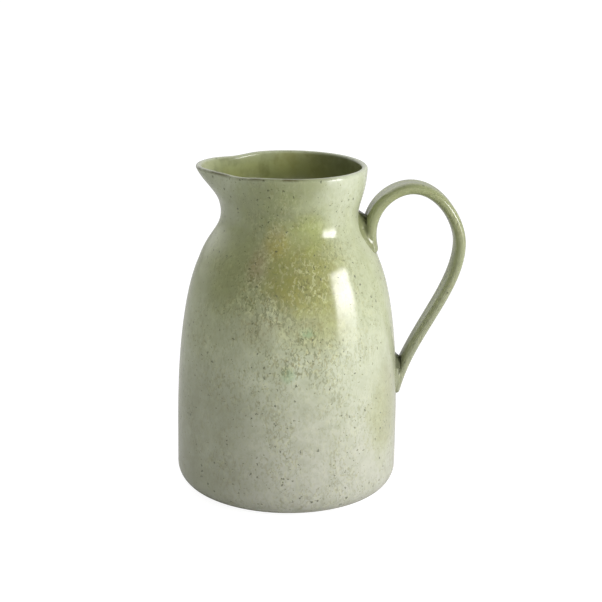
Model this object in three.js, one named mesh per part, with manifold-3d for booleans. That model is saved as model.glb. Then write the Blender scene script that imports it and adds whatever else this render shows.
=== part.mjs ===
// Stoneware pitcher: a thrown vessel with a pulled spout, a strap handle, and the
// two beds of joining slip that hold the handle's ends to the wall.
// Millimetres, +Z up. The spout points to -X and the handle to +X.

import * as THREE from 'three';
import { mergeVertices } from 'three/addons/utils/BufferGeometryUtils.js';
import Module from 'manifold-3d';

const wasm = await Module();
wasm.setup();

// ---- driving dimensions: the vessel ----
const BELLY_RADIUS = 71.2;
const BELLY_TOP = 42.6;
const BELLY_FULLNESS = 82;
const HEEL_RADIUS = 14;
const SHOULDER_RADIUS = 57.5;
const SHOULDER_HEIGHT = 150.3;
const SHOULDER_RISE = 2.9;
const BELOW_SHOULDER = 3;
const ABOVE_SHOULDER = 16.6;
const NECK_RADIUS = 43.7;
const NECK_HEIGHT = 180.8;
const BELOW_NECK = 11.6;
const ABOVE_NECK = 7;
const LIP_RADIUS = 48.7;
const LIP_HEIGHT = 209;
const BELOW_LIP = new THREE.Vector2(-0.6, -15.6);
const WALL = 4.5;
const LIP_WALL = 4;
const FLOOR_TOP = 7;
const INNER_HEEL_RADIUS = 10;
const FOOT_INNER_RADIUS = 51;
const FOOT_SLOPE = 1.5;
const RECESS_DEPTH = 2;
const AROUND = 64;

// ---- driving dimensions: the pulled spout ----
const SPOUT_REACH = 11.5;
const SPOUT_HALF_ANGLE = THREE.MathUtils.degToRad(29.5);
const RIM_SQUEEZE = 2.1;
const RIM_DIP = 1.2;
const RIM_DIP_ANGLE = THREE.MathUtils.degToRad(45);
const RIM_DIP_SPREAD = THREE.MathUtils.degToRad(15);
const PULL_START = 188.1;
const PULL_END = 213.6;

// ---- driving dimensions: the strap handle ----
const STRAP_WIDTH = { upper: 20.4, lower: 18 };
const STRAP_THICKNESS = { upper: 8.6, lower: 6.8 };
const STRAP_SIDES = 16;
const STRAP_STEPS = 52;
const STRAP_SQUARENESS = 2.6;
const UPPER_END = { x: 53, z: 153.9 };
const UPPER_LEAN = { x: -8.5, z: 27.2 };
const CREST = { x: 77.5, z: 196.4, before: 14, after: 18.2 };
const OUTERMOST = { x: 109.3, z: 159.4, before: 14.7, after: 31.2 };
const LOWER_END = { x: 69.4, z: 60.1 };
const LOWER_LEAN = { x: 8.1, z: 38.7 };
const UPPER_FLARE = { length: 34, width: 0.3, thickness: 0.06 };
const LOWER_FLARE = { length: 20, width: 0.22, thickness: 0 };

// ---- driving dimensions: the joints ----
const GAP = 0.3;
const SLIP_BED = 1.2;
const SLIP_SPREAD = 3.2;
const SLIP_RISE = 2.4;
const MIDDLE_HEIGHT = 122.6;
const CLEAR_OF_ALL = 80;

// ---- how close two points are before they count as one ----
const SAME_POINT = 1e-4;
const ON_THE_AXIS = 1e-6;

// A closed geometry as a solid that can be joined and cut.
function toSolid(geometry) {
  const bare = geometry.clone();
  bare.deleteAttribute('normal');
  bare.deleteAttribute('uv');
  const welded = mergeVertices(bare, SAME_POINT);
  const index = welded.index.array;
  const corners = [];
  for (let i = 0; i < index.length; i += 3) {
    const [a, b, c] = [index[i], index[i + 1], index[i + 2]];
    if (a !== b && b !== c && c !== a) corners.push(a, b, c);
  }
  const vertProperties = new Float32Array(welded.attributes.position.array);
  const triVerts = new Uint32Array(corners);
  return new wasm.Manifold(new wasm.Mesh({ numProp: 3, vertProperties, triVerts }));
}

function toGeometry(solid) {
  const mesh = solid.getMesh();
  const geometry = new THREE.BufferGeometry();
  geometry.setAttribute('position', new THREE.BufferAttribute(mesh.vertProperties, 3));
  geometry.setIndex(new THREE.BufferAttribute(mesh.triVerts, 1));
  geometry.computeVertexNormals();
  return geometry;
}

// Each point of the vessel's wall outline, as a point, the direction out of the clay
// there, and the wall's thickness. Outlines are (radius, height).
function wallOutline() {
  const at = (radius, height) => new THREE.Vector2(radius, height);
  const shoulder = at(SHOULDER_RADIUS, SHOULDER_HEIGHT);
  const slope = at(-1, SHOULDER_RISE).normalize();
  const neck = at(NECK_RADIUS, NECK_HEIGHT);
  const lip = at(LIP_RADIUS, LIP_HEIGHT);
  const stretches = [
    [new THREE.LineCurve(at(BELLY_RADIUS, HEEL_RADIUS), at(BELLY_RADIUS, BELLY_TOP)), 1],
    [new THREE.CubicBezierCurve(
      at(BELLY_RADIUS, BELLY_TOP), at(BELLY_RADIUS, BELLY_TOP + BELLY_FULLNESS),
      shoulder.clone().addScaledVector(slope, -BELOW_SHOULDER), shoulder), 8],
    [new THREE.CubicBezierCurve(
      shoulder, shoulder.clone().addScaledVector(slope, ABOVE_SHOULDER),
      at(NECK_RADIUS, NECK_HEIGHT - BELOW_NECK), neck), 6],
    [new THREE.CubicBezierCurve(
      neck, at(NECK_RADIUS, NECK_HEIGHT + ABOVE_NECK), lip.clone().add(BELOW_LIP), lip), 6],
  ];
  const outline = [];
  for (const [curve, steps] of stretches) {
    for (let i = outline.length ? 1 : 0; i <= steps; i += 1) {
      const point = curve.getPoint(i / steps);
      const along = curve.getTangent(i / steps);
      const flare = THREE.MathUtils.clamp((point.y - NECK_HEIGHT) / (LIP_HEIGHT - NECK_HEIGHT), 0, 1);
      const wall = THREE.MathUtils.lerp(WALL, LIP_WALL, flare);
      outline.push({ point, out: at(along.y, -along.x), wall });
    }
  }
  return outline;
}

// A round stretch of outline, from one angle to another in degrees.
function arc(radius, height, size, from, to, steps) {
  const points = [];
  for (let i = 0; i <= steps; i += 1) {
    const angle = THREE.MathUtils.degToRad(THREE.MathUtils.lerp(from, to, i / steps));
    points.push(new THREE.Vector2(radius + size * Math.cos(angle), height + size * Math.sin(angle)));
  }
  return points;
}

// The outside of the vessel, grown by a clearance: from the foot to the lip.
function outside(clearance) {
  const heel = arc(BELLY_RADIUS - HEEL_RADIUS, HEEL_RADIUS, HEEL_RADIUS + clearance, -90, 0, 5);
  const wall = wallOutline().slice(1);
  return [...heel, ...wall.map(({ point, out }) => point.clone().addScaledVector(out, clearance))];
}

// The inside of the vessel: from the lip down to the floor's edge.
function inside() {
  const wall = wallOutline().map(({ point, out, wall: depth }) => point.clone().addScaledVector(out, -depth));
  const corner = BELLY_RADIUS - WALL - INNER_HEEL_RADIUS;
  const heel = arc(corner, FLOOR_TOP + INNER_HEEL_RADIUS, INNER_HEEL_RADIUS, 0, -90, 4);
  return [...wall.reverse().slice(0, -1), ...heel];
}

// Pulling the spout carries the clay near the rim outwards over the -X side, draws
// the rim's flanks in and lets it sink a little beside the spout.
function pullSpout(geometry) {
  const position = geometry.attributes.position;
  for (let i = 0; i < position.count; i += 1) {
    const [x, y, z] = [position.getX(i), position.getY(i), position.getZ(i)];
    const radius = Math.hypot(x, y);
    const pull = THREE.MathUtils.smoothstep(z, PULL_START, PULL_END);
    if (radius < ON_THE_AXIS || pull === 0) continue;
    const off = Math.abs(Math.atan2(y, -x));
    const reach = SPOUT_REACH * Math.exp(-((off / SPOUT_HALF_ANGLE) ** 2));
    const squeeze = RIM_SQUEEZE * Math.sin(off) ** 2;
    const dip = RIM_DIP * Math.exp(-(((off - RIM_DIP_ANGLE) / RIM_DIP_SPREAD) ** 2));
    const pulled = (radius + pull * (reach - squeeze)) / radius;
    position.setXYZ(i, x * pulled, y * pulled, z - pull * dip);
  }
  return geometry;
}

function turn(outline) {
  return pullSpout(new THREE.LatheGeometry(outline, AROUND).rotateX(Math.PI / 2));
}

function makeVessel() {
  const lip = arc(LIP_RADIUS - LIP_WALL / 2, LIP_HEIGHT, LIP_WALL / 2, 0, 180, 6).slice(1, -1);
  const foot = [
    new THREE.Vector2(0, RECESS_DEPTH),
    new THREE.Vector2(FOOT_INNER_RADIUS - FOOT_SLOPE, RECESS_DEPTH),
    new THREE.Vector2(FOOT_INNER_RADIUS, 0),
  ];
  const floor = new THREE.Vector2(0, FLOOR_TOP);
  return toSolid(turn([...foot, ...outside(0), ...lip, ...inside(), floor]));
}

// The vessel's outer shape without its hollow, grown by a clearance.
function vesselEnvelope(clearance) {
  const under = new THREE.Vector2(0, -clearance);
  const over = new THREE.Vector2(0, LIP_HEIGHT);
  return toSolid(turn([under, ...outside(clearance), over]));
}

// The handle's centre line: up out of the shoulder, over the crest, round, and down
// to the wall, carried on past its lower end where a longer one is asked for.
function strapPath(extra) {
  const path = new THREE.CurvePath();
  const at = (point, x = 0, z = 0) => new THREE.Vector3(point.x + x, 0, point.z + z);
  const down = new THREE.CubicBezierCurve3(
    at(OUTERMOST), at(OUTERMOST, 0, -OUTERMOST.after),
    at(LOWER_END, LOWER_LEAN.x, LOWER_LEAN.z), at(LOWER_END));
  path.curves.push(
    new THREE.CubicBezierCurve3(
      at(UPPER_END), at(UPPER_END, UPPER_LEAN.x, UPPER_LEAN.z), at(CREST, -CREST.before), at(CREST)),
    new THREE.CubicBezierCurve3(
      at(CREST), at(CREST, CREST.after), at(OUTERMOST, 0, OUTERMOST.before), at(OUTERMOST)),
    down);
  if (extra > 0) {
    const end = at(LOWER_END).addScaledVector(down.getTangent(1), extra);
    path.curves.push(new THREE.LineCurve3(at(LOWER_END), end));
  }
  return path;
}

// A flattened round section of unit half width and half thickness.
function strapSection() {
  const power = 2 / STRAP_SQUARENESS;
  const squared = (share) => Math.sign(share) * Math.abs(share) ** power;
  const corners = Array.from({ length: STRAP_SIDES }, (_, i) => {
    const angle = (2 * Math.PI * i) / STRAP_SIDES;
    return new THREE.Vector2(squared(Math.cos(angle)), squared(Math.sin(angle)));
  });
  return new THREE.Shape(corners);
}

// Gives the strap its width and thickness, grown by a clearance: both shrink slowly
// from its upper end to its lower one, and it flares at its two ends.
function sizeStrap(geometry, path, clearance) {
  const stations = path.getSpacedPoints(STRAP_STEPS);
  const total = path.getLength();
  const position = geometry.attributes.position;
  for (let i = 0; i < position.count; i += 1) {
    const [x, y, z] = [position.getX(i), position.getY(i), position.getZ(i)];
    const gaps = stations.map((station) => Math.hypot(x - station.x, z - station.z));
    const nearest = gaps.indexOf(Math.min(...gaps));
    const share = nearest / STRAP_STEPS;
    const upper = Math.exp(-((share * total / UPPER_FLARE.length) ** 2));
    const lower = Math.exp(-(((1 - share) * total / LOWER_FLARE.length) ** 2));
    const wide = THREE.MathUtils.lerp(STRAP_WIDTH.upper, STRAP_WIDTH.lower, share)
      * (1 + UPPER_FLARE.width * upper + LOWER_FLARE.width * lower) / 2 + clearance;
    const thick = THREE.MathUtils.lerp(STRAP_THICKNESS.upper, STRAP_THICKNESS.lower, share)
      * (1 + UPPER_FLARE.thickness * upper + LOWER_FLARE.thickness * lower) / 2 + clearance;
    const centre = stations[nearest];
    position.setXYZ(i, centre.x + (x - centre.x) * thick, y * wide, centre.z + (z - centre.z) * thick);
  }
  return geometry;
}

function strap(clearance) {
  const path = strapPath(clearance);
  const geometry = new THREE.ExtrudeGeometry(strapSection(), { steps: STRAP_STEPS, extrudePath: path });
  return toSolid(sizeStrap(geometry, path, clearance));
}

// The handle stops short of the wall, and the slip bed fills what is left.
function makeHandle() {
  return strap(0).subtract(vesselEnvelope(SLIP_BED + 2 * GAP));
}

// Slip squeezed out round an end of the handle: a bed between the end and the wall,
// with a collar round it.
function makeSlip(bottom, top) {
  const half = new THREE.BoxGeometry(CLEAR_OF_ALL, CLEAR_OF_ALL, top - bottom);
  half.translate(CLEAR_OF_ALL, 0, (top + bottom) / 2);
  const bed = strap(SLIP_SPREAD).intersect(vesselEnvelope(SLIP_RISE)).intersect(toSolid(half));
  const end = strap(GAP).subtract(vesselEnvelope(SLIP_BED + GAP));
  return bed.subtract(vesselEnvelope(GAP)).subtract(end);
}

const glaze = new THREE.MeshStandardMaterial({ color: 0xa3aa86, roughness: 0.18, metalness: 0 });
const strapGlaze = new THREE.MeshStandardMaterial({ color: 0x8f9670, roughness: 0.2, metalness: 0 });
const slipGlaze = new THREE.MeshStandardMaterial({ color: 0x7f8659, roughness: 0.25, metalness: 0 });

const pitcher = new THREE.Group();

function addPart(name, solid, material) {
  const part = new THREE.Mesh(toGeometry(solid), material);
  part.name = name;
  pitcher.add(part);
}

addPart('vessel', makeVessel(), glaze);
addPart('handle', makeHandle(), strapGlaze);
addPart('upper_slip_joint', makeSlip(MIDDLE_HEIGHT, LIP_HEIGHT), slipGlaze);
addPart('lower_slip_joint', makeSlip(0, MIDDLE_HEIGHT), slipGlaze);

// The origin is on the resting plane, under the middle of the whole pitcher.
const reach = new THREE.Box3().setFromObject(pitcher);
pitcher.position.x = -(reach.min.x + reach.max.x) / 2;

export default pitcher;
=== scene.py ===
"""A glazed stoneware pitcher: a thrown vessel with a pulled spout, a strap handle, and the slip
joints that hold the handle. Everything is in metres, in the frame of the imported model."""

import math

import bmesh
import bpy
from mathutils import Matrix, Vector
from mathutils.bvhtree import BVHTree


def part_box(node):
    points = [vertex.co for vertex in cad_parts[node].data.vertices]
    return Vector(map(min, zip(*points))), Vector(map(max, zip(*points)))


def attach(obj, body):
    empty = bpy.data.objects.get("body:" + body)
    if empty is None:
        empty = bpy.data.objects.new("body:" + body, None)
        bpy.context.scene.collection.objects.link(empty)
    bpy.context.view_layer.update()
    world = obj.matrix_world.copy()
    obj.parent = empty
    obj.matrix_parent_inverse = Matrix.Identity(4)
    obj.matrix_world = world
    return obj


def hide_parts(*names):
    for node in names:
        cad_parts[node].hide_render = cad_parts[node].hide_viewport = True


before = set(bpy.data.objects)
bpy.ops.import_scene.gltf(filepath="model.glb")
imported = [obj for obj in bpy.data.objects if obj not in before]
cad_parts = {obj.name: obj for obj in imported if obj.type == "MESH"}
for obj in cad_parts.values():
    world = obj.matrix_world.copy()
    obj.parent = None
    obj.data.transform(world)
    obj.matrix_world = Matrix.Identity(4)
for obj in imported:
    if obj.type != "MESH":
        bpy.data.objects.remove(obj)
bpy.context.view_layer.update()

MM = 0.001

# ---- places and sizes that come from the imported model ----
vessel_low, vessel_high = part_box("vessel")
AXIS = (vessel_low.x + vessel_high.x) / 2
BELLY_RADIUS = (vessel_high.x - vessel_low.x) / 2
TOP = vessel_high.z

# ---- the vessel's own sizes ----
LIP_WALL = 4 * MM
WALL = 4.5 * MM
BELLY_TOP = 42.6 * MM
BELLY_FULLNESS = 82 * MM
HEEL_RADIUS = 14 * MM
SHOULDER = (57.5 * MM, 150.3 * MM)
SHOULDER_SLOPE = Vector((-1, 0, 2.9)).normalized()
BELOW_SHOULDER = 3 * MM
ABOVE_SHOULDER = 16.6 * MM
NECK = (43.7 * MM, 180.8 * MM)
BELOW_NECK = 11.6 * MM
ABOVE_NECK = 7 * MM
LIP = (48.7 * MM, TOP - LIP_WALL / 2)
BELOW_LIP = (-0.6 * MM, -15.6 * MM)
FLOOR_TOP = 7 * MM
INNER_HEEL_RADIUS = 10 * MM
FOOT_INNER_RADIUS = 51 * MM
FOOT_ROUNDING = 0.8 * MM
FOOT_SLOPE = 1.5 * MM
RECESS_DEPTH = 2 * MM
SWAY_BROAD = 0.11 * MM
SWAY_RINGS = 0.05 * MM
AROUND = 256
SAME_POINT = 2e-5

# ---- the pulled spout's own sizes ----
SPOUT_REACH = 11.5 * MM
SPOUT_HALF_ANGLE = math.radians(29.5)
RIM_SQUEEZE = 2.1 * MM
RIM_DIP = 1.2 * MM
RIM_DIP_ANGLE = math.radians(45)
RIM_DIP_SPREAD = math.radians(15)
PULL_START = 188.1 * MM
PULL_END = 213.6 * MM

# ---- the strap handle's own sizes ----
STRAP_WIDTH = (20.4 * MM, 18 * MM)
STRAP_THICKNESS = (8.6 * MM, 6.8 * MM)
CREST = (77.5 * MM, 196.4 * MM)
OUTERMOST = (109.3 * MM, 159.4 * MM)
UPPER_END = (53 * MM, 153.9 * MM)
LOWER_END = (69.4 * MM, 60.1 * MM)
BEFORE_CREST = 14 * MM
AFTER_CREST = 18.2 * MM
ABOVE_OUTERMOST = 14.7 * MM
BELOW_OUTERMOST = 31.2 * MM
UPPER_LEAN = (-8.5 * MM, 27.2 * MM)
LOWER_LEAN = (8.1 * MM, 38.7 * MM)
UPPER_FLARE = 34 * MM
UPPER_WIDENING = 0.30
UPPER_THICKENING = 0.06
LOWER_FLARE = 20 * MM
LOWER_WIDENING = 0.22
STRAP_ROUNDNESS = 0.8
GROOVE_DEPTH = 0.7 * MM
GROOVE_SPREAD = 0.42
NOSE = 3.5 * MM
CORE_DEPTH = 0.6 * MM
CORE_WELD = 1 * MM
STRAP_AROUND = 128
STRAP_ALONG = 300

# ---- the slip joints' own sizes ----
SLIP_HEIGHT = 3.2 * MM
SLIP_SPREAD = 5.5 * MM
SLIP_DEPTH = 1.2 * MM
CREVICE_FILL = 1.6 * MM
LEAN_ON_STRAP = 0.8
LEAN_ON_WALL = 0.62
FILLET_STEPS = 24
FACES_OUT = 0.3
SKIN = 0.03 * MM

# ---- the studio ----
VIEW_TURN = math.radians(-4)
CAMERA_DISTANCE = 1.05
CAMERA_HEIGHT = 0.4284
CAMERA_SWING = math.radians(0.439)
CAMERA_TILT = math.radians(16.29)
CAMERA_ROLL = math.radians(0.927)
CAMERA_LENS = 101.8
FLOOR_REACH = 8.0
WINDOW_SIZE = (0.62, 1.15)
WINDOW_AZIMUTH = 67
WINDOW_ELEVATION = 0.5
WINDOW_DISTANCE = 1.2
WINDOW_GLOW = 16.0
WINDOW_COLOR = (1.0, 0.985, 1.03, 1)
WINDOW_BY_HEIGHT = [
    (0.0, "000000"), (0.25, "383838"), (0.45, "808080"), (0.68, "fdfdfd"), (0.90, "ffffff"),
    (1.0, "707070"),
]
LIGHT_HEIGHT = 0.12
ROOM_BASE = 0.10
# Each soft glow in the room: degrees round from the front, degrees up, sharpness and strength.
ROOM_GLOWS = [(8, 10, 2, 1.02), (150, 30, 4, 0.9), (-142, 30, 6, 1.7)]
FLOOR_SEEN = 0.92


def srgb(code):
    """A colour written as six hex digits, as the linear numbers that shaders use."""
    shares = [int(code[i:i + 2], 16) / 255 for i in (0, 2, 4)]
    linear = [s / 12.92 if s <= 0.04045 else ((s + 0.055) / 1.055) ** 2.4 for s in shares]
    return (*linear, 1.0)


class Value:
    """A number, a vector or a mesh on its way through a node tree, written as arithmetic."""

    def __init__(self, tree, socket):
        self.tree = tree
        self.socket = socket

    def __add__(self, other):
        return self.tree.maths("ADD", self, other)

    def __sub__(self, other):
        return self.tree.maths("SUBTRACT", self, other)

    def __mul__(self, other):
        return self.tree.maths("MULTIPLY", self, other)

    def __truediv__(self, other):
        return self.tree.maths("DIVIDE", self, other)

    def __pow__(self, other):
        return self.tree.maths("POWER", self, other)

    def __radd__(self, other):
        return self.tree.maths("ADD", other, self)

    def __rsub__(self, other):
        return self.tree.maths("SUBTRACT", other, self)

    def __rmul__(self, other):
        return self.tree.maths("MULTIPLY", other, self)

    def __rtruediv__(self, other):
        return self.tree.maths("DIVIDE", other, self)

    def __neg__(self):
        return self.tree.maths("MULTIPLY", self, -1)

    def __abs__(self):
        return self.tree.maths("ABSOLUTE", self)


class Tree:
    """A shader tree or a geometry tree that is being filled in."""

    def __init__(self, nodes):
        self.nodes = nodes

    def add(self, kind, settings=None, values=None, out=0):
        """One node: its settings first, then its sockets' values or links."""
        node = self.nodes.nodes.new(kind)
        for name, setting in (settings or {}).items():
            if name == "stops":
                self.fill_ramp(node.color_ramp, setting)
            else:
                setattr(node, name, setting)
        values = dict(enumerate(values)) if isinstance(values, (list, tuple)) else (values or {})
        for name, value in values.items():
            for part in value if isinstance(value, list) else [value]:
                if isinstance(part, Value):
                    self.nodes.links.new(part.socket, node.inputs[name])
                else:
                    node.inputs[name].default_value = part
        return Value(self, node.outputs[out]) if node.outputs else node

    @staticmethod
    def fill_ramp(ramp, stops):
        while len(ramp.elements) < len(stops):
            ramp.elements.new(1.0)
        for element, (place, color) in zip(ramp.elements, stops):
            element.position = place
            element.color = color

    def maths(self, operation, *operands):
        return self.add("ShaderNodeMath", {"operation": operation}, operands)

    def vector_maths(self, operation, *operands, out=0):
        return self.add("ShaderNodeVectorMath", {"operation": operation}, operands, out)

    def join(self, x, y, z):
        return self.add("ShaderNodeCombineXYZ", None, (x, y, z))

    def split(self, vector):
        node = self.add("ShaderNodeSeparateXYZ", None, (vector,)).socket.node
        return [Value(self, output) for output in node.outputs]

    def ease(self, value, start, end):
        """0 before start, 1 after end, and a smooth step between them."""
        settings = {"interpolation_type": "SMOOTHSTEP"}
        return self.add("ShaderNodeMapRange", settings, (value, start, end, 0.0, 1.0))

    def bell(self, value, width):
        """1 where value is 0, falling away smoothly on both sides."""
        return self.maths("EXPONENT", -((value / width) ** 2))

    def scaled(self, vector, amount):
        return self.add("ShaderNodeVectorMath", {"operation": "SCALE"}, {0: vector, 3: amount})

    def mix(self, below, above, share):
        return self.add("ShaderNodeMix", {"data_type": "RGBA"}, {0: share, 6: below, 7: above}, 2)

    def noise(self, place, scale, detail=2.0, roughness=0.5, out=0):
        values = {"Vector": place, "Scale": scale, "Detail": detail, "Roughness": roughness}
        return self.add("ShaderNodeTexNoise", None, values, out)


def fresh_tree(owner):
    """The empty shader tree of a material, a light or a world."""
    owner.use_nodes = True
    owner.node_tree.nodes.clear()
    return Tree(owner.node_tree)


# ---- shapes made by geometry nodes ----
class ShapeTree(Tree):
    """A geometry tree with named size inputs, which ends in plain geometry with a material."""

    def __init__(self, name, sizes):
        super().__init__(bpy.data.node_groups.new(name, "GeometryNodeTree"))
        self.sizes = sizes
        face = self.nodes.interface
        for size, value in sizes.items():
            kind = "NodeSocketVector" if isinstance(value, Vector) else "NodeSocketFloat"
            kind = "NodeSocketBool" if isinstance(value, bool) else kind
            face.new_socket(size, in_out="INPUT", socket_type=kind)
        face.new_socket("Clay", in_out="OUTPUT", socket_type="NodeSocketGeometry")
        self.entry = self.add("NodeGroupInput").socket.node

    def size(self, name):
        return Value(self, self.entry.outputs[name])

    def grid(self, across, along, place, marks=()):
        """A sheet of across by along faces, bent by place(u, v) into its shape."""
        sheet = self.add("GeometryNodeMeshGrid", None, (1.0, 1.0, across + 1, along + 1))
        x, y, _ = self.split(self.add("GeometryNodeInputPosition"))
        u, v = x + 0.5, y + 0.5
        for mark, field in marks:
            settings = {"data_type": "FLOAT", "domain": "POINT"}
            values = {"Geometry": sheet, "Name": mark, "Value": field(u, v)}
            sheet = self.add("GeometryNodeStoreNamedAttribute", settings, values)
        return self.moved(sheet, Position=place(u, v))

    def moved(self, mesh, **where):
        return self.add("GeometryNodeSetPosition", None, {"Geometry": mesh, **where})

    def bezier(self, *points):
        settings = {"mode": "POSITION"}
        return self.add("GeometryNodeCurvePrimitiveBezierSegment", settings, (96, *points))

    def line(self, start, end):
        values = {"Start": start, "End": end}
        return self.add("GeometryNodeCurvePrimitiveLine", {"mode": "POINTS"}, values)

    def beside(self, point, x, z):
        return self.vector_maths("ADD", point, (x, 0, z))

    def chain(self, *pieces):
        return self.add("GeometryNodeJoinGeometry", None, {0: list(reversed(pieces))})

    def sample(self, curve, share):
        """Where a chain of curves is, and which way it runs, at a share of its length."""
        settings = {"mode": "FACTOR", "use_all_curves": True}
        values = {"Curves": curve, "Factor": share}
        place = self.add("GeometryNodeSampleCurve", settings, values, "Position")
        return place, Value(self, place.socket.node.outputs["Tangent"])

    def weld(self, mesh, distance=SAME_POINT):
        values = {"Geometry": mesh, "Distance": distance}
        return self.add("GeometryNodeMergeByDistance", None, values)

    def finish(self, mesh, material):
        smooth = self.add("GeometryNodeSetShadeSmooth", None, {"Geometry": mesh})
        plain = self.add("GeometryNodeRealizeInstances", None, {"Geometry": smooth})
        values = {"Geometry": plain, "Material": material}
        self.add("NodeGroupOutput", None, {0: self.add("GeometryNodeSetMaterial", None, values)})

    def make(self, name, **changed):
        """The plain mesh that the tree makes with its sizes."""
        mesh = bpy.data.meshes.new(name)
        maker = bpy.data.objects.new(name + "_maker", mesh)
        bpy.context.scene.collection.objects.link(maker)
        modifier = maker.modifiers.new("shape", "NODES")
        modifier.node_group = self.nodes
        for item in self.nodes.interface.items_tree:
            if item.in_out == "INPUT":
                value = changed.get(item.name, self.sizes[item.name])
                modifier[item.identifier] = list(value) if isinstance(value, Vector) else value
        graph = bpy.context.evaluated_depsgraph_get()
        made = bpy.data.meshes.new_from_object(maker.evaluated_get(graph))
        bpy.data.objects.remove(maker)
        made.name = name
        return made


VESSEL_SIZES = {
    "Axis": AXIS, "Belly Radius": BELLY_RADIUS, "Belly Top": BELLY_TOP, "Heel Radius": HEEL_RADIUS,
    "Shoulder": Vector((SHOULDER[0], 0, SHOULDER[1])), "Neck": Vector((NECK[0], 0, NECK[1])),
    "Lip": Vector((LIP[0], 0, LIP[1])), "Wall": WALL, "Lip Wall": LIP_WALL,
    "Spout Reach": SPOUT_REACH, "Spout Half Angle": SPOUT_HALF_ANGLE,
    "Rim Squeeze": RIM_SQUEEZE, "Rim Dip": RIM_DIP,
    "Pull Start": PULL_START, "Pull End": PULL_END,
}


def wall_curve(tree):
    """The vessel's outside as (radius, 0, height): straight belly, shoulder, neck and lip."""
    radius = tree.size("Belly Radius")
    shoulder, neck, lip = tree.size("Shoulder"), tree.size("Neck"), tree.size("Lip")
    start = tree.join(radius, 0, tree.size("Heel Radius"))
    belly = tree.join(radius, 0, tree.size("Belly Top"))

    before, after = -BELOW_SHOULDER * SHOULDER_SLOPE, ABOVE_SHOULDER * SHOULDER_SLOPE
    return tree.chain(
        tree.line(start, belly),
        tree.bezier(belly, tree.beside(belly, 0, BELLY_FULLNESS),
                    tree.beside(shoulder, before.x, before.z), shoulder),
        tree.bezier(shoulder, tree.beside(shoulder, after.x, after.z),
                    tree.beside(neck, 0, -BELOW_NECK), neck),
        tree.bezier(neck, tree.beside(neck, 0, ABOVE_NECK), tree.beside(lip, *BELOW_LIP), lip),
    )


def turned(tree, radius, height, angle):
    """A point at a radius and height, turned about the vessel's axis."""
    across, deep = tree.maths("COSINE", angle), tree.maths("SINE", angle)
    return tree.join(radius * across, radius * deep, height)


def wall_strip(tree, curve, rows, depth, inward, marks):
    """The wall's outside, going up, or its inside, going down."""
    length = tree.add("GeometryNodeCurveLength", None, (curve,))
    inner_end = (FLOOR_TOP + INNER_HEEL_RADIUS - HEEL_RADIUS) / length

    def place(u, v):
        share = 1 - v * (1 - inner_end) if inward else v
        point, along = tree.sample(curve, share)
        radius, _, height = tree.split(point)
        slope, _, rise = tree.split(along)
        _, _, neck = tree.split(tree.size("Neck"))
        _, _, lip = tree.split(tree.size("Lip"))
        thin = tree.add("ShaderNodeMapRange", None, (height, neck, lip, 0.0, 1.0))
        wall = tree.size("Wall") + thin * (tree.size("Lip Wall") - tree.size("Wall"))
        inset = depth + wall if inward else depth
        sink = slope * inset * (1 - thin)
        return turned(tree, radius - rise * inset, height + sink, u * math.tau)

    return tree.grid(AROUND, rows, place, marks)


def arc_strip(tree, rows, centre_radius, centre_height, size, start, end, marks=()):
    """A rounded band whose section runs from one angle to another, in degrees."""
    def place(u, v):
        angle = math.radians(start) + v * math.radians(end - start)
        radius = centre_radius + size * tree.maths("COSINE", angle)
        height = centre_height + size * tree.maths("SINE", angle)
        return turned(tree, radius, height, u * math.tau)
    return tree.grid(AROUND, rows, place, marks)


def flat_strip(tree, rows, start, end, marks=()):
    """A flat or sloping band between two (radius, height) pairs."""
    def place(u, v):
        radius = start[0] + v * (end[0] - start[0])
        height = start[1] + v * (end[1] - start[1])
        return turned(tree, radius, height, u * math.tau)
    return tree.grid(AROUND, rows, place, marks)


def pull_spout(tree, clay):
    """Carries the rim outwards over the -X side, draws its flanks in and dips beside the spout."""
    x, y, z = tree.split(tree.add("GeometryNodeInputPosition"))
    pull = tree.ease(z, tree.size("Pull Start"), tree.size("Pull End"))
    radius = tree.maths("MAXIMUM", tree.maths("SQRT", x * x + y * y), 1e-6)
    off = abs(tree.maths("ARCTAN2", y, -x))
    reach = tree.size("Spout Reach") * tree.bell(off, tree.size("Spout Half Angle"))
    squeeze = tree.size("Rim Squeeze") * tree.maths("SINE", off) ** 2
    dip = tree.size("Rim Dip") * tree.bell(off - RIM_DIP_ANGLE, RIM_DIP_SPREAD)
    pulled = 1 + pull * (reach - squeeze) / radius
    return tree.moved(clay, Position=tree.join(x * pulled, y * pulled, z - pull * dip))


def sway(tree, clay):
    """The hand's unevenness: the clay stands in by up to a sixth of a millimetre here and there."""
    x, y, z = tree.split(tree.add("GeometryNodeInputPosition"))
    broad = tree.noise(tree.join(x, y, z * 1.7), 22.0, 1.0)
    rings = tree.noise(tree.join(x * 0.2, y * 0.2, z), 130.0, 0.0)
    inward = tree.vector_maths("NORMALIZE", tree.join(-x, -y, 0))
    return tree.moved(clay, Offset=tree.scaled(inward, broad * SWAY_BROAD + rings * SWAY_RINGS))


def shift_to_axis(tree, clay):
    return tree.moved(clay, Offset=tree.join(tree.size("Axis"), 0, 0))


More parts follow.
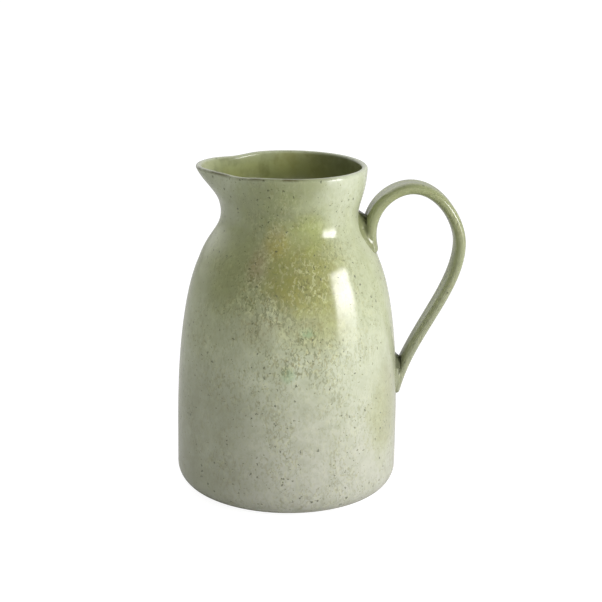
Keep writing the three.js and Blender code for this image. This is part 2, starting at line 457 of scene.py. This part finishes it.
def vessel_tree(material):
    tree = ShapeTree("thrown_vessel", VESSEL_SIZES)
    curve = wall_curve(tree)
    radius, wall = tree.size("Belly Radius"), tree.size("Wall")
    heel, lip_wall = tree.size("Heel Radius"), tree.size("Lip Wall")
    lip_radius, _, lip_height = tree.split(tree.size("Lip"))
    corner = radius - wall - INNER_HEEL_RADIUS
    foot_outer = radius - heel
    ridge = FOOT_INNER_RADIUS + FOOT_ROUNDING
    recess = FOOT_INNER_RADIUS - FOOT_SLOPE
    inner = ("inside", lambda u, v: 1.0)
    bare = ("bare", lambda u, v: 1.0)
    strips = [
        flat_strip(tree, 24, (0, RECESS_DEPTH), (recess, RECESS_DEPTH)),
        flat_strip(tree, 6, (recess, RECESS_DEPTH), (FOOT_INNER_RADIUS, FOOT_ROUNDING)),
        arc_strip(tree, 5, ridge, FOOT_ROUNDING, FOOT_ROUNDING, 180, 270, [bare]),
        flat_strip(tree, 10, (ridge, 0), (foot_outer, 0), [bare]),
        arc_strip(tree, 18, foot_outer, heel, heel, -90, 0),
        wall_strip(tree, curve, 130, 0, False, ()),
        arc_strip(tree, 14, lip_radius - lip_wall / 2, lip_height, lip_wall / 2, 0, 180,
                  [("inside", lambda u, v: v)]),
        wall_strip(tree, curve, 90, 0, True, [inner]),
        arc_strip(tree, 10, corner, FLOOR_TOP + INNER_HEEL_RADIUS, INNER_HEEL_RADIUS, 0, -90,
                  [inner]),
        flat_strip(tree, 16, (corner, FLOOR_TOP), (0, FLOOR_TOP), [inner]),
    ]
    clay = tree.weld(tree.chain(*strips))
    tree.finish(shift_to_axis(tree, sway(tree, pull_spout(tree, clay))), material)
    return tree


STRAP_SIZES = {
    **VESSEL_SIZES,
    "Crest": Vector((CREST[0], 0, CREST[1])), "Outermost": Vector((OUTERMOST[0], 0, OUTERMOST[1])),
    "Upper End": Vector((UPPER_END[0], 0, UPPER_END[1])),
    "Lower End": Vector((LOWER_END[0], 0, LOWER_END[1])),
    "Upper Width": STRAP_WIDTH[0], "Lower Width": STRAP_WIDTH[1],
    "Upper Thickness": STRAP_THICKNESS[0], "Lower Thickness": STRAP_THICKNESS[1],
    "Groove Depth": GROOVE_DEPTH, "Trimmed": True,
}


def strap_curve(tree):
    """The handle's centre line, from its upper end over the crest and down to its lower end."""
    crest, outermost = tree.size("Crest"), tree.size("Outermost")
    upper, lower = tree.size("Upper End"), tree.size("Lower End")
    return tree.chain(
        tree.bezier(upper, tree.beside(upper, *UPPER_LEAN),
                    tree.beside(crest, -BEFORE_CREST, 0), crest),
        tree.bezier(crest, tree.beside(crest, AFTER_CREST, 0),
                    tree.beside(outermost, 0, ABOVE_OUTERMOST), outermost),
        tree.bezier(outermost, tree.beside(outermost, 0, -BELOW_OUTERMOST),
                    tree.beside(lower, *LOWER_LEAN), lower),
    )


def rounded_off(tree, distance):
    """The share of the full section at a distance from an end: 0 at the end, 1 past the nose."""
    share = tree.maths("MINIMUM", distance / NOSE, 1.0)
    return tree.maths("SQRT", tree.maths("MAXIMUM", 1 - (1 - share) ** 2, 0.0))


def flattened(tree, share):
    """A sine or cosine pushed outwards, which makes an ellipse into a rounded oblong."""
    return tree.maths("SIGN", share) * abs(share) ** STRAP_ROUNDNESS


def strap_place(tree, curve):
    """Where each point of the strap's skin lies: a flattened round section with a shallow groove
    down its outer face, widening and thickening towards the ends, and rounded off at each end."""
    length = tree.add("GeometryNodeCurveLength", None, (curve,))

    def place(u, v):
        point, along = tree.sample(curve, v)
        outwards = tree.vector_maths("CROSS_PRODUCT", along, (0, 1, 0))
        travelled = v * length
        left = length - travelled
        upper = tree.bell(travelled, UPPER_FLARE)
        lower = tree.bell(left, LOWER_FLARE)
        width, thickness = [tree.size("Upper " + word) * (1 - v) + tree.size("Lower " + word) * v
                            for word in ("Width", "Thickness")]
        wide = (1 + UPPER_WIDENING * upper + LOWER_WIDENING * lower) * width / 2
        thick = (1 + UPPER_THICKENING * upper) * thickness / 2
        closing, opening = rounded_off(tree, left), rounded_off(tree, travelled)
        angle = u * math.tau
        across = flattened(tree, tree.maths("COSINE", angle))
        through = flattened(tree, tree.maths("SINE", angle))
        outer = tree.maths("GREATER_THAN", through, 0.0)
        groove = tree.size("Groove Depth") * outer * tree.bell(across, GROOVE_SPREAD)
        lift = tree.scaled(outwards, (through * thick - groove) * closing * opening)
        sideways = tree.join(0, across * wide * closing * opening, 0)
        return tree.vector_maths("ADD", tree.vector_maths("ADD", point, lift), sideways)

    return place


def strap_tree(material):
    """The strap, cut off just under the vessel's surface unless its Trimmed input is off."""
    tree = ShapeTree("pulled_strap", STRAP_SIZES)
    curve = strap_curve(tree)
    skin = tree.grid(STRAP_AROUND, STRAP_ALONG, strap_place(tree, curve))
    skin = shift_to_axis(tree, skin)
    closed = tree.weld(skin)
    wall = wall_curve(tree)
    heel = tree.size("Heel Radius")
    foot_outer = tree.size("Belly Radius") - heel
    lip_radius, _, lip_height = tree.split(tree.size("Lip"))
    core = tree.weld(tree.chain(
        flat_strip(tree, 4, (0, 0.0), (foot_outer, 0.0)),
        arc_strip(tree, 8, foot_outer, heel, heel, -90, 0),
        wall_strip(tree, wall, 130, CORE_DEPTH, False, ()),
        flat_strip(tree, 4, (lip_radius - CORE_DEPTH, lip_height), (0, lip_height)),
    ), CORE_WELD)
    core = shift_to_axis(tree, core)
    trimmed = tree.add("GeometryNodeMeshBoolean", {"operation": "DIFFERENCE", "solver": "EXACT"},
                       {"Mesh 1": closed, "Mesh 2": core})
    values = {"Switch": tree.size("Trimmed"), "False": skin, "True": trimmed}
    tree.finish(tree.add("GeometryNodeSwitch", {"input_type": "GEOMETRY"}, values), material)
    return tree


# ---- the slip joints, built as fillets between the strap and the wall ----
def outer_wall(mesh):
    """A search tree of the vessel's outside, without its hollow."""
    faces = []
    for face in mesh.polygons:
        away = Vector((face.center.x - AXIS, face.center.y, 0))
        if face.normal.dot(away) > FACES_OUT * away.length:
            faces.append(tuple(face.vertices))
    return BVHTree.FromPolygons([v.co for v in mesh.vertices], faces)


def clearance(wall, point):
    """How far a point stands off the wall, with the wall's nearest point and its normal."""
    nearest, normal, _, _ = wall.find_nearest(point)
    return (point - nearest).dot(normal), nearest, normal


def leave_strap(wall, line, steps, height):
    """Where a line of the strap comes within a height of the wall, and its heading there."""
    before = line[steps[0]]
    high = clearance(wall, before)[0]
    for step in steps[1:]:
        point = line[step]
        now = clearance(wall, point)[0]
        if now < height:
            share = (high - height) / (high - now)
            return before.lerp(point, share), (point - before).normalized()
        before, high = point, now
    raise ValueError("the strap never reaches the wall")


def smooth_ring(ring, rounds):
    """Evens out a closed ring of vectors."""
    for _ in range(rounds):
        after = ring[1:] + ring[:1]
        ring = [(ring[i - 1] + 2 * ring[i] + after[i]) / 4 for i in range(len(ring))]
    return ring


def slip_directions(wall, starts, headings):
    """At each start of the slip, the way off the strap, and the way outwards along the wall."""
    middle = sum(starts, Vector()) / len(starts)
    normals, reaches = [], []
    for i, (start, heading) in enumerate(zip(starts, headings)):
        beside = starts[(i + 1) % STRAP_AROUND] - starts[i - 1]
        normal = beside.cross(heading).normalized()
        normal = normal if normal.dot(start - middle) > 0 else -normal
        _, _, off = clearance(wall, start)
        normals.append(normal)
        reaches.append((normal - off * normal.dot(off)).normalized())
    return normals, [reach.normalized() for reach in smooth_ring(reaches, 6)]


def slip_section(wall, start, heading, normal, reach):
    """One section of the slip: it begins in the strap, follows the fillet and ends in the wall."""
    _, foot, _ = clearance(wall, start)
    _, end, off = clearance(wall, foot + reach * SLIP_SPREAD)
    reach = (reach - off * reach.dot(off)).normalized()
    on_strap = start + heading * SLIP_HEIGHT * LEAN_ON_STRAP
    on_wall = end - reach * SLIP_SPREAD * LEAN_ON_WALL
    section = [start - normal * SLIP_DEPTH]
    for step in range(FILLET_STEPS + 1):
        t = step / FILLET_STEPS
        blend = (start * (1 - t) ** 3 + on_strap * 3 * t * (1 - t) ** 2
                 + on_wall * 3 * t * t * (1 - t) + end * t ** 3)
        section.append(blend + (normal * (1 - t) + off * t) * SKIN)
    section.append(end - off * SLIP_DEPTH)
    return section


def closed_band(name, rings, material):
    """A closed mesh through rings of equal length, smooth but for its two visible rims."""
    count = len(rings[0])
    vertices = [point for ring in rings for point in ring]
    faces = []
    for i in range(len(rings)):
        here, after = i * count, (i + 1) % len(rings) * count
        for j in range(count):
            beyond = (j + 1) % count
            faces.append((here + j, after + j, after + beyond, here + beyond))
    mesh = bpy.data.meshes.new(name)
    mesh.from_pydata(vertices, [], faces)
    work = bmesh.new()
    work.from_mesh(mesh)
    bmesh.ops.recalc_face_normals(work, faces=work.faces)
    for edge in work.edges:
        rows = [vertex.index % count for vertex in edge.verts]
        edge.smooth = rows not in ([1, 1], [count - 2, count - 2])
    for face in work.faces:
        face.smooth = True
    work.to_mesh(mesh)
    work.free()
    mesh.materials.append(material)
    return mesh


def slip_joint(name, wall, strap, steps, material):
    """A closed band of slip. Its outside is a fillet from strap to wall, the rest is hidden."""
    lines = [[strap.vertices[i * (STRAP_ALONG + 1) + j].co for j in range(STRAP_ALONG + 1)]
             for i in range(STRAP_AROUND)]
    outwards = [math.sin(i * math.tau / STRAP_AROUND) for i in range(STRAP_AROUND)]
    heights = [SLIP_HEIGHT + CREVICE_FILL * max(0, up) ** 1.5 for up in outwards]
    starts, headings = zip(*(leave_strap(wall, line, steps, height)
                             for line, height in zip(lines, heights)))
    normals, reaches = slip_directions(wall, starts, headings)
    rings = [slip_section(wall, *place) for place in zip(starts, headings, normals, reaches)]
    return closed_band(name, rings, material)


# ---- the glaze ----
CLOUD = "878b66"
BROWN_MARK = "84783f"
PALE_MARK = "d6d8a8"
DARK_MARK = "5f6438"
FAINT_SPECK = "60643f"
BOLD_SPECK = "3c3f26"
# A darker line along the lip's outer edge, from the spout round to the front.
RIM_EDGE_DARK = "565230"
POOLED = "6c7242"
GLOSS = 0.12
RELIEF = 0.035 * MM
MARKS_RUN = 0.6
HANDLE_CROWDING = 0.30
PALE_BY_HEIGHT = [
    (0.00, "b6b7a9"), (0.20, "bfc1af"), (0.42, "bec3a9"), (0.60, "b9bf9f"), (0.76, "b5bb98"),
    (0.88, "b6bc9d"), (1.00, "bdc3a8"),
]
# The handle's glaze by height, darker and greener than the vessel's and darkest at the crest:
# partly the glaze's own tone, partly painted shade on the handle's shaded side and crest.
HANDLE_TONE_AND_SHADE_BY_HEIGHT = [
    (0.0, "a2a58e"), (0.5, "92967b"), (0.75, "929774"), (0.92, "8f956a"), (1.0, "8f956a"),
]
# The hollow's olive glaze by height, darker the deeper it goes: the darkening is painted shade.
HOLLOW_GLAZE_AND_SHADE_BY_HEIGHT = [
    (0.0, "62663a"), (0.6, "5e6334"), (0.84, "666c3a"), (0.92, "838a56"), (0.97, "989f6e"),
    (1.0, "a9af88"),
]

# Where the vessel's glaze is darker, greener, or shows a flash of another colour, and where painted
# shade darkens it:
# degrees round from the front, height in mm, how far it spreads in degrees and in mm, its colour
# and its strength.
FLASHES_AND_PAINTED_SHADE = [
    # Darker green on the left shoulder: partly the glaze's tone, partly painted shade on the side
    # away from the window.
    (-36, 158, 46, 30, "868c4c", 0.58),
    # The next three darken the neck under the lip: partly olive glaze, partly painted shade.
    (0, 192, 28, 10, "919964", 0.55),
    (-4, 206, 34, 10, "868d5e", 0.75),
    (-30, 192, 30, 16, "868d5c", 0.62),
    (6, 150, 25, 32, "929346", 0.80),
    (-6, 146, 13, 12, "858236", 0.55),
    (10, 122, 20, 14, "a3a566", 0.45),
    (-14, 172, 9, 9, "a3964c", 0.45),
    (-25, 158, 7, 11, "a58a6c", 0.38),
    (-9, 153, 9, 9, "77792f", 0.50),
    (-20, 120, 12, 12, "a39f76", 0.35),
    (6, 120, 5, 4, "8fb389", 0.55),
    (-4, 95, 3.5, 5, "93b389", 0.50),
    (58, 56, 16, 30, "a0a468", 0.50),
    # The next two darken both lower flanks: partly the glaze's tone, partly painted shade.
    (80, 60, 30, 52, "a3a58b", 0.60),
    (-52, 48, 30, 44, "969a80", 0.60),
    (-55, 112, 20, 16, "a2a87e", 0.35),
    (12, 178, 16, 10, "96a05c", 0.60),
    (150, 150, 50, 28, "8b8f55", 0.55),
    (95, 168, 18, 14, "949a66", 0.40),
    (-140, 60, 22, 20, "a8ac80", 0.35),
]


def ramp(tree, share, stops):
    settings = {"stops": [(place, srgb(code)) for place, code in stops]}
    return tree.add("ShaderNodeValToRGB", settings, (share,))


def specks(tree, place, scale, size, keep):
    """Small round spots: one possible spot in each cell of a grid of the given scale, of uneven
    size, and only where keep is low."""
    wobble = tree.noise(place, scale * 3.5, 1.0, 0.5, 1)
    shaken = tree.vector_maths("ADD", place, tree.scaled(wobble, 0.75 / scale))
    values = {"Vector": shaken, "Scale": scale}
    near = tree.add("ShaderNodeTexVoronoi", {"feature": "F1"}, values, "Distance")
    chance, share, _ = tree.split(Value(tree, near.socket.node.outputs["Color"]))
    radius = size * scale * (0.45 + 0.55 * share) * tree.ease(chance - keep, -0.02, 0.02)
    return tree.ease(near, radius * 1.2, radius * 0.5)


def marks(tree, place, scale, share, offset):
    """Small ragged marks, more of them where share is higher."""
    moved = tree.vector_maths("ADD", place, offset)
    field = tree.noise(moved, scale, 1.6, 0.62)
    return tree.ease(field + 0.5 * share, 0.70, 0.77)


def threads(tree, place, scale, width, offset):
    """Thin crooked lines, broken into short lengths."""
    moved = tree.vector_maths("ADD", place, offset)
    course = tree.noise(moved, scale, 2.0, 0.6)
    parts = tree.noise(moved, scale * 1.7, 1.0, 0.5)
    return tree.ease(abs(course - 0.5), width, width * 0.3) * tree.ease(parts, 0.47, 0.56)


def flashed_and_shaded(tree, color, azimuth, z, ragged):
    """The glaze's colour with all its flashes and patches of painted shade, with ragged edges."""
    for around, level, spread, rise, code, strength in FLASHES_AND_PAINTED_SHADE:
        off = abs(azimuth - around)
        sideways = tree.maths("MINIMUM", off, 360 - off) / spread
        above = (z - level * MM) / (rise * MM)
        far = tree.maths("SQRT", sideways * sideways + above * above)
        color = tree.mix(color, srgb(code), tree.ease(far + ragged, 1.45, 0.35) * strength)
    return color


def vessel_crowding(tree, azimuth, z):
    """How thickly the vessel is marked: most on the front of the shoulder, least at the sides."""
    front = 0.62 * tree.bell(azimuth + 2, 34) * tree.bell(z - 138 * MM, 44 * MM)
    back = 0.40 * tree.bell(abs(azimuth) - 160, 45) * tree.bell(z - 126 * MM, 48 * MM)
    below_neck = tree.ease(z, 190 * MM, 150 * MM)
    return 0.16 + 0.24 * tree.bell(azimuth + 5, 48) * below_neck + front + back


def marked(tree, color, place, clusters, busy):
    """The colour with its cloudiness and its fine brown, pale and dark marks."""
    crowd = (0.35 + 0.65 * clusters) * busy
    run = tree.vector_maths("MULTIPLY", place, (1.0, 1.0, MARKS_RUN))
    dark_threads = threads(tree, run, 270.0, 0.055, (0.11, 0.07, 0.03))
    brown_threads = threads(tree, run, 230.0, 0.055, (0.61, 0.27, 0.43))
    pale_threads = threads(tree, run, 250.0, 0.060, (0.23, 0.91, 0.57))
    dark_marks = marks(tree, run, 400.0, 0.18 + crowd * 0.10, (0.41, 0.37, 0.13))
    pale_marks = marks(tree, run, 470.0, 0.10 + crowd * 0.14, (0.73, 0.19, 0.67))
    pale = tree.maths("MAXIMUM", pale_threads, pale_marks)
    dark = tree.maths("MAXIMUM", dark_threads, dark_marks)
    mottle = tree.ease(tree.noise(place, 120.0, 3.0, 0.6), 0.36, 0.66)
    color = tree.mix(color, srgb(CLOUD), (1 - mottle) * (0.12 + 0.16 * busy))
    color = tree.mix(color, srgb(BROWN_MARK), brown_threads * crowd * 0.60)
    color = tree.mix(color, srgb(PALE_MARK), pale * crowd * 0.60)
    return tree.mix(color, srgb(DARK_MARK), dark * crowd * 0.66)


def vessel_places(tree, color, roughness, place, broad, middling):
    """What only the vessel has: the olive hollow with painted shade deeper down and on its handle
    side, a darker line along the lip's outer edge from the spout round to the front, and the bare
    foot.
    """
    x, y, z = place
    inside = tree.add("ShaderNodeAttribute", {"attribute_name": "inside"}, None, "Fac")
    bare = tree.add("ShaderNodeAttribute", {"attribute_name": "bare"}, None, "Fac")
    hollow = ramp(tree, z / TOP + (broad - 0.5) * 0.1, HOLLOW_GLAZE_AND_SHADE_BY_HEIGHT)
    hollow = tree.mix(hollow, srgb("5a5c34"), tree.ease(middling, 0.42, 0.66) * 0.45)
    hollow = tree.mix(hollow, srgb("a3a45c"), tree.ease(broad, 0.50, 0.68) * 0.50)
    # Darker on the hollow's handle side: painted shade.
    hollow = tree.mix(hollow, srgb("3f4424"), tree.ease(x - AXIS, -5 * MM, 40 * MM) * 0.60)
    color = tree.mix(color, hollow, tree.ease(inside, 0.55, 0.98))
    # Darker along the lip's outer edge, from the spout round to the front.
    round_rim = tree.maths("ARCTAN2", y, -(x - AXIS))
    near_spout = tree.ease(round_rim, math.radians(-125), math.radians(-95))
    along = near_spout * tree.ease(round_rim, 0.5, 0.1)
    ridge = tree.bell(inside - 0.27, 0.20) * along
    darker_rim_edge = ridge * tree.ease(middling, 0.30, 0.62)
    color = tree.mix(color, srgb(RIM_EDGE_DARK), darker_rim_edge * 0.9)
    grain = tree.noise(tree.join(x, y, z), 900.0)
    color = tree.mix(color, tree.mix(srgb("b9a88a"), srgb("8f7c60"), grain), bare)
    return color, roughness + bare * 0.6


def glaze(name, vessel=False, pooled=0.0):
    """The pitcher's glossy glaze: on the vessel with all its places, elsewhere plainer."""
    material = bpy.data.materials.new(name)
    tree = fresh_tree(material)
    place = tree.add("ShaderNodeTexCoord", None, None, "Object")
    x, y, z = tree.split(place)
    azimuth = tree.maths("ARCTAN2", x - AXIS, -y) * math.degrees(1)
    broad = tree.noise(place, 17.0, 2.0)
    middling = tree.noise(place, 75.0, 3.0, 0.6)
    fine = tree.noise(place, 330.0, 2.0, 0.6)
    clusters = tree.ease(tree.noise(place, 40.0, 2.5, 0.55), 0.34, 0.64)

    height = z + (broad - 0.5) * 0.034 + (middling - 0.5) * 0.018
    color = ramp(tree, height / TOP, PALE_BY_HEIGHT if vessel else HANDLE_TONE_AND_SHADE_BY_HEIGHT)
    if vessel:
        ragged = (broad - 0.5) * 1.1 + (middling - 0.5) * 0.9
        color = flashed_and_shaded(tree, color, azimuth, z, ragged)
    busy = vessel_crowding(tree, azimuth, z) if vessel else HANDLE_CROWDING
    color = marked(tree, color, place, clusters, busy)

    bold = specks(tree, place, 265.0, 0.86 * MM, 0.76 - 0.42 * clusters)
    beside = tree.vector_maths("ADD", place, (0.31, 0.17, 0.53))
    faint = specks(tree, beside, 420.0, 0.52 * MM, 0.62 - 0.50 * clusters)
    color = tree.mix(color, srgb(FAINT_SPECK), faint * 0.66)
    color = tree.mix(color, srgb(BOLD_SPECK), bold * 0.80)

    roughness = GLOSS + 0.05 * middling + 0.14 * bold
    relief = tree.noise(place, 190.0, 2.0, 0.5) + 0.15 * fine - 0.45 * bold - 0.2 * faint
    if vessel:
        color, roughness = vessel_places(tree, color, roughness, (x, y, z), broad, middling)
    if pooled:
        color = tree.mix(color, srgb(POOLED), pooled)
    values = {"Height": relief, "Distance": RELIEF, "Strength": 1.0}
    bump = tree.add("ShaderNodeBump", None, values)
    values = {"Base Color": color, "Roughness": roughness, "IOR": 1.5, "Normal": bump}
    shine = tree.add("ShaderNodeBsdfPrincipled", None, values)
    tree.add("ShaderNodeOutputMaterial", None, {"Surface": shine})
    return material


# ---- the pieces ----
def piece(name, mesh, node):
    body = bpy.data.objects.new(name, mesh)
    bpy.context.scene.collection.objects.link(body)
    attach(body, "root")
    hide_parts(node)
    return body


vessel_glaze = glaze("vessel_glaze", vessel=True)
handle_glaze = glaze("handle_glaze")
joint_glaze = glaze("joint_glaze", pooled=0.25)
vessel_mesh = vessel_tree(vessel_glaze).make("thrown_vessel")
strap_maker = strap_tree(handle_glaze)
strap_skin = strap_maker.make("strap_skin", Trimmed=False)
strap_mesh = strap_maker.make("pulled_strap")
wall = outer_wall(vessel_mesh)
middle = STRAP_ALONG // 2
upper_mesh = slip_joint("upper_slip", wall, strap_skin, range(middle, -1, -1), joint_glaze)
lower_mesh = slip_joint("lower_slip", wall, strap_skin, range(middle, STRAP_ALONG + 1), joint_glaze)
piece("glazed_vessel", vessel_mesh, "vessel")
piece("strap_handle", strap_mesh, "handle")
piece("upper_slip", upper_mesh, "upper_slip_joint")
piece("lower_slip", lower_mesh, "lower_slip_joint")


# ---- the studio ----
def about_axis(x, y, z):
    """A place given as seen by someone standing in front, turned with the view about the axis."""
    return Matrix.Rotation(VIEW_TURN, 4, "Z") @ Vector((x, y, z)) + Vector((AXIS, 0, 0))


def towards(azimuth, elevation):
    """The way to a place given in degrees round from the view's front and in degrees up."""
    swing, rise = math.radians(azimuth), math.radians(elevation)
    level = math.cos(rise)
    way = Vector((level * math.sin(swing), -level * math.cos(swing), math.sin(rise)))
    return Matrix.Rotation(VIEW_TURN, 3, "Z") @ way


def aim(thing, place, target):
    thing.location = place
    thing.rotation_euler = (target - place).to_track_quat("-Z", "Y").to_euler()


def add_camera():
    data = bpy.data.cameras.new("camera")
    data.lens = CAMERA_LENS
    data.sensor_width = 36
    camera = bpy.data.objects.new("camera", data)
    bpy.context.scene.collection.objects.link(camera)
    turn = (Matrix.Rotation(VIEW_TURN - CAMERA_SWING, 4, "Z")
            @ Matrix.Rotation(math.pi / 2 - CAMERA_TILT, 4, "X")
            @ Matrix.Rotation(CAMERA_ROLL, 4, "Z"))
    camera.matrix_world = Matrix.Translation(about_axis(0, -CAMERA_DISTANCE, CAMERA_HEIGHT)) @ turn
    bpy.context.scene.camera = camera


def add_window():
    """A tall soft panel to the right, brightest in its upper half and fading at its edges."""
    data = bpy.data.lights.new("window", "AREA")
    data.shape = "RECTANGLE"
    data.size, data.size_y = WINDOW_SIZE
    data.energy = 1.0
    tree = fresh_tree(data)
    across, up, _ = tree.split(tree.add("ShaderNodeNewGeometry", None, None, "Parametric"))
    sides = tree.ease(abs(across - 0.5), 0.5, 0.34)
    height = ramp(tree, up, WINDOW_BY_HEIGHT)
    area = WINDOW_SIZE[0] * WINDOW_SIZE[1]
    color = tree.mix((0, 0, 0, 1), WINDOW_COLOR, height * sides)
    values = {"Color": color, "Strength": WINDOW_GLOW * area * math.pi}
    glow = tree.add("ShaderNodeEmission", None, values)
    tree.add("ShaderNodeOutputLight", None, {"Surface": glow})
    panel = bpy.data.objects.new("window", data)
    panel.visible_camera = False
    bpy.context.scene.collection.objects.link(panel)
    place = WINDOW_DISTANCE * towards(WINDOW_AZIMUTH, WINDOW_ELEVATION)
    target = Vector((AXIS, 0, LIGHT_HEIGHT))
    aim(panel, target + place, target)


def add_surround():
    """A dim pale room with a broad glow in front and one behind on each side. The camera sees it
    as white."""
    world = bpy.data.worlds.new("room")
    bpy.context.scene.world = world
    tree = fresh_tree(world)
    seen = tree.add("ShaderNodeLightPath", None, None, "Is Camera Ray")
    looking = tree.add("ShaderNodeTexCoord", None, None, "Generated")
    brightness = ROOM_BASE
    for azimuth, elevation, sharpness, strength in ROOM_GLOWS:
        way = tuple(towards(azimuth, elevation))
        facing = tree.vector_maths("DOT_PRODUCT", looking, way, out="Value")
        brightness = brightness + strength * tree.maths("MAXIMUM", facing, 0.0) ** sharpness
    grey = tree.join(brightness, brightness, brightness * 0.99)
    color = tree.mix(grey, (1, 1, 1, 1), seen)
    glow = tree.add("ShaderNodeBackground", None, {"Color": color})
    tree.add("ShaderNodeOutputWorld", None, {"Surface": glow})


def add_floor():
    """A wide pale matt floor. The camera sees it as nearly white, with a faint shadow."""
    material = bpy.data.materials.new("pale_floor")
    tree = fresh_tree(material)
    seen = tree.add("ShaderNodeLightPath", None, None, "Is Camera Ray")
    values = {"Color": (1, 1, 1, 1), "Strength": FLOOR_SEEN}
    glow = tree.add("ShaderNodeEmission", None, values)
    paint = tree.add("ShaderNodeBsdfDiffuse", None, {"Color": (0.25, 0.25, 0.25, 1)})
    both = tree.add("ShaderNodeAddShader", None, {0: glow, 1: paint})
    matt = tree.add("ShaderNodeBsdfDiffuse", None, {"Color": (0.75, 0.75, 0.74, 1)})
    shown = tree.add("ShaderNodeMixShader", None, {0: seen, 1: matt, 2: both})
    tree.add("ShaderNodeOutputMaterial", None, {"Surface": shown})
    mesh = bpy.data.meshes.new("floor")
    turns = [(-1, -1), (1, -1), (1, 1), (-1, 1)]
    corners = [(x * FLOOR_REACH, y * FLOOR_REACH, 0) for x, y in turns]
    mesh.from_pydata(corners, [], [(0, 1, 2, 3)])
    mesh.materials.append(material)
    floor = bpy.data.objects.new("floor", mesh)
    bpy.context.scene.collection.objects.link(floor)


add_camera()
add_window()
add_surround()
add_floor()
bpy.context.scene.view_settings.view_transform = "Standard"
